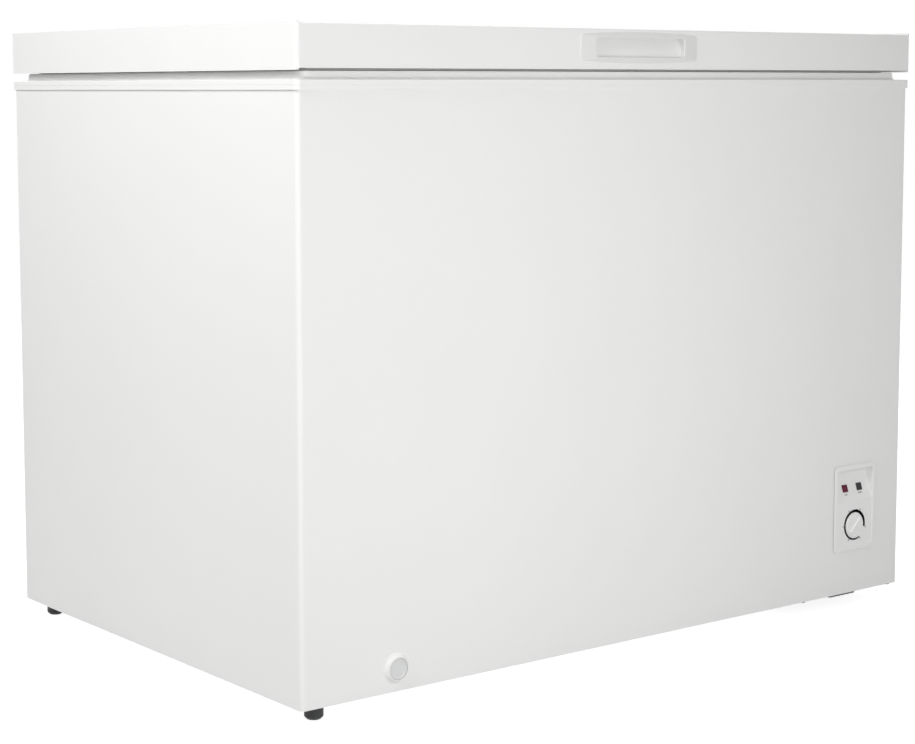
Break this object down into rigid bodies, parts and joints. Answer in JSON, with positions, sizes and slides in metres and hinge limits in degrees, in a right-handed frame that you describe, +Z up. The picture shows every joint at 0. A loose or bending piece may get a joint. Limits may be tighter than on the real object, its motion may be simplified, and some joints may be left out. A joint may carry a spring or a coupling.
{
  "type": "chest freezer",
  "caption": "White chest freezer with a hinged foamed lid, recessed lid grip, insulated tub with a step, hanging wire basket, thermostat panel, drain outlet and rear compressor bay.",
  "frame": {"origin": "centre of the overall box at floor level", "axes": "+X along the width towards the right-hand end with the controls and the compressor bay, -Y out of the front, +Z up"},
  "size_m": [1.065, 0.733, 0.8273],
  "materials": {
    "painted_steel": "gloss white enamel",
    "galvanised_steel": "galvanised, slightly spangled",
    "stucco_aluminium": "embossed white-lacquered sheet",
    "polyurethane_foam": "closed-cell foam",
    "moulded_abs": "fine satin white moulding",
    "white_polystyrene": "vacuum-formed sheet",
    "grey_plastic": "satin",
    "grey_pvc": "soft extruded seal",
    "black_plastic": "satin black",
    "black_rubber": "matt",
    "black_enamel": "semi-gloss black enamel",
    "zinc_steel": "bright zinc plate",
    "copper_tube": "drawn, lightly oxidised",
    "aluminium_tube": "drawn",
    "red_lens": "translucent red, polished",
    "smoke_lens": "translucent dark green, unlit, polished",
    "coated_wire": "white plastic-coated wire"
  },
  "bodies": {
    "cabinet": {"outer_shell": "painted_steel", "back_panel": "galvanised_steel", "bottom_panel": "galvanised_steel", "foam_insulation": "polyurethane_foam", "inner_liner": "stucco_aluminium", "top_frame": "moulded_abs", "evaporator_tube": "aluminium_tube", "condenser_tube": "zinc_steel", "drain_pipe": "white_polystyrene", "drain_outlet_ring": "moulded_abs", "compressor": "black_enamel", "compressor_grommets": "black_rubber", "compressor_bolts": "zinc_steel", "compressor_base_plate": "black_enamel", "base_plate_screws": "black_enamel", "terminal_cover": "black_plastic", "suction_tube": "copper_tube", "discharge_tube": "copper_tube", "filter_drier": "copper_tube", "capillary_tube": "copper_tube", "side_grille": "moulded_abs", "grille_screws": "zinc_steel", "rear_bay_cover": "galvanised_steel", "rear_cover_screws": "zinc_steel", "cord_gland": "black_plastic", "control_panel": "moulded_abs", "power_lamp_lens": "red_lens", "run_lamp_lens": "smoke_lens", "thermostat": "zinc_steel", "thermostat_bulb": "copper_tube", "hinge_bracket_left": "zinc_steel", "hinge_bracket_right": "zinc_steel", "hinge_pin_left": "zinc_steel", "hinge_pin_right": "zinc_steel", "hinge_spring_left": "zinc_steel", "hinge_spring_right": "zinc_steel", "hinge_rod_left": "zinc_steel", "hinge_rod_right": "zinc_steel", "hinge_screws": "zinc_steel", "foot_nuts": "zinc_steel"},
    "lid": {"lid_skin": "painted_steel", "lid_end_cap_left": "moulded_abs", "lid_end_cap_right": "moulded_abs", "lid_foam": "polyurethane_foam", "lid_inner_panel": "white_polystyrene", "lid_gasket": "grey_pvc", "lid_grip": "moulded_abs", "hinge_leaf_left": "zinc_steel", "hinge_leaf_right": "zinc_steel", "lid_hinge_screws": "zinc_steel"},
    "knob": {"thermostat_knob": "moulded_abs"},
    "drain_cap": {"drain_cap": "grey_plastic"},
    "stopper": {"drain_stopper": "white_polystyrene"},
    "basket": {"wire_basket": "coated_wire"},
    "foot_front_left": {"foot_front_left": "black_plastic"},
    "foot_front_right": {"foot_front_right": "black_plastic"},
    "foot_rear_left": {"foot_rear_left": "black_plastic"},
    "foot_rear_right": {"foot_rear_right": "black_plastic"}
  },
  "joints": [
    {"name": "lid_hinge", "type": "hinge", "parent": "cabinet", "child": "lid", "pos_m": [0, 0.3555, 0.768], "axis": [-1, 0, 0], "range_deg": [0, 80]},
    {"name": "knob_turn", "type": "hinge", "parent": "cabinet", "child": "knob", "pos_m": [0.433, -0.3615, 0.1225], "axis": [0, 1, 0], "range_deg": [0, 270]},
    {"name": "drain_cap_pull", "type": "slide", "parent": "cabinet", "child": "drain_cap", "axis": [0, -1, 0], "range_m": [0, 0.04]},
    {"name": "stopper_lift", "type": "slide", "parent": "cabinet", "child": "stopper", "axis": [0, 0, 1], "range_m": [0, 0.03]},
    {"name": "basket_slide", "type": "slide", "parent": "cabinet", "child": "basket", "axis": [-1, 0, 0], "range_m": [0, 0.65]},
    {"name": "foot_front_left_adjust", "type": "slide", "parent": "cabinet", "child": "foot_front_left", "axis": [0, 0, -1], "range_m": [0, 0.008]},
    {"name": "foot_front_right_adjust", "type": "slide", "parent": "cabinet", "child": "foot_front_right", "axis": [0, 0, -1], "range_m": [0, 0.008]},
    {"name": "foot_rear_left_adjust", "type": "slide", "parent": "cabinet", "child": "foot_rear_left", "axis": [0, 0, -1], "range_m": [0, 0.008]},
    {"name": "foot_rear_right_adjust", "type": "slide", "parent": "cabinet", "child": "foot_rear_right", "axis": [0, 0, -1], "range_m": [0, 0.008]}
  ]
}
